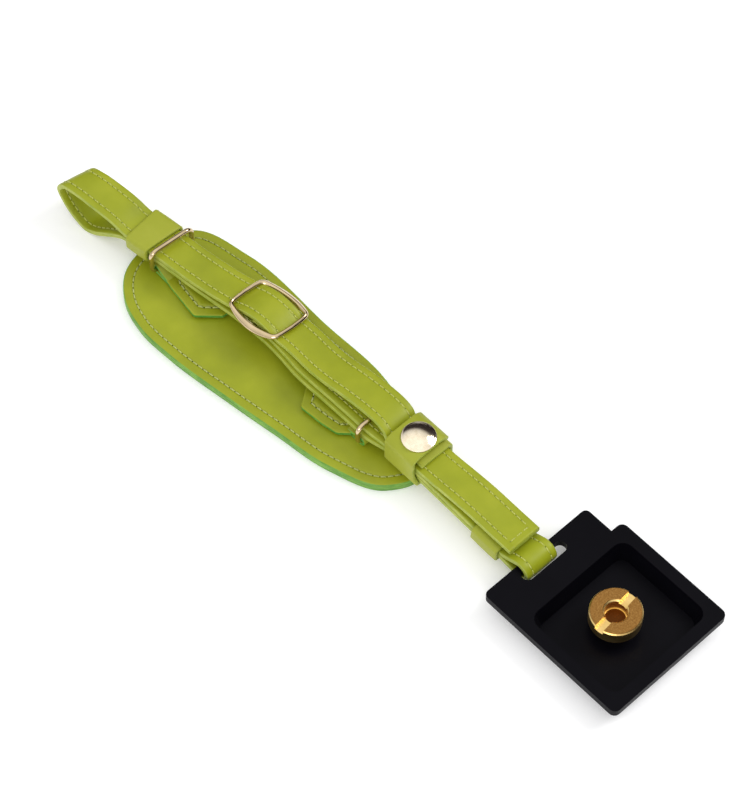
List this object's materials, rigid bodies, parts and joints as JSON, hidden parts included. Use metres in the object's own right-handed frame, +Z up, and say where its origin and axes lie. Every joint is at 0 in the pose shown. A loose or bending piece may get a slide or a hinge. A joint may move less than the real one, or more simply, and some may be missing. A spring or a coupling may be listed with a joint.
{
  "type": "camera hand strap",
  "caption": "Leather camera hand strap with a rounded hand pad, slider, rings, keepers, press-stud band and a tripod-screw base plate.",
  "frame": {"origin": "centre of the bounding box, on the table the strap lies on", "axes": "+X along the strap from the finger loop to the base plate, +Y across it, +Z up from the table"},
  "size_m": [0.2354, 0.0536, 0.0183],
  "materials": {
    "lime_leather": "grained lime leather with a soft sheen",
    "edge_painted_leather": "green painted edge and smooth lining",
    "pad_foam": "matt padding",
    "champagne_metal": "polished pale gold plating",
    "turned_brass": "turned brass",
    "washer_steel": "blackened",
    "satin_black_plate": "satin black",
    "black_rubber": "matt"
  },
  "bodies": {
    "strap_and_pad": {"strap": "lime_leather", "pad_leather": "lime_leather", "pad_foam": "pad_foam", "pad_lining": "edge_painted_leather", "tab_upper": "lime_leather", "tab_lower": "lime_leather", "slider_buckle": "champagne_metal", "snap_band": "lime_leather", "snap_cap": "champagne_metal", "snap_socket": "champagne_metal", "snap_stud": "champagne_metal", "snap_post": "champagne_metal"},
    "plate": {"base_plate": "satin_black_plate", "rubber_seat": "black_rubber"},
    "screw_retainer": {"screw_washer": "washer_steel"},
    "screw": {"tripod_screw": "turned_brass"},
    "upper_keeper": {"keeper_upper": "lime_leather"},
    "lower_keeper": {"keeper_lower": "lime_leather"},
    "upper_ring": {"ring_upper": "champagne_metal"},
    "lower_ring": {"ring_lower": "champagne_metal"}
  },
  "joints": [
    {"name": "plate_swing", "type": "hinge", "parent": "strap_and_pad", "child": "plate", "pos_m": [0.06852, 0.00264, 0.00675], "axis": [0, 1, 0], "range_deg": [-80, 80]},
    {"name": "screw_lift", "type": "slide", "parent": "plate", "child": "screw_retainer", "axis": [0, 0, 1], "range_m": [-0.0028, 0]},
    {"name": "screw_turn", "type": "hinge", "parent": "screw_retainer", "child": "screw", "pos_m": [0.09682, 0.00434, 0.005], "axis": [0, 0, 1], "continuous": true},
    {"name": "upper_keeper_slide", "type": "slide", "parent": "strap_and_pad", "child": "upper_keeper", "axis": [0.9924, 0.1231, 0], "range_m": [-0.0006, 0.0006]},
    {"name": "lower_keeper_slide", "type": "slide", "parent": "strap_and_pad", "child": "lower_keeper", "axis": [0.9976, 0, -0.0692], "range_m": [-0.005, 0]},
    {"name": "upper_ring_tilt", "type": "hinge", "parent": "strap_and_pad", "child": "upper_ring", "pos_m": [-0.07748, -0.00418, 0.0053], "axis": [-0.1231, 0.9924, 0], "range_deg": [-8, 8]},
    {"name": "lower_ring_tilt", "type": "hinge", "parent": "strap_and_pad", "child": "lower_ring", "pos_m": [0.00702, -0.00066, 0.0053], "axis": [0, 1, 0], "range_deg": [-7, 5]}
  ]
}
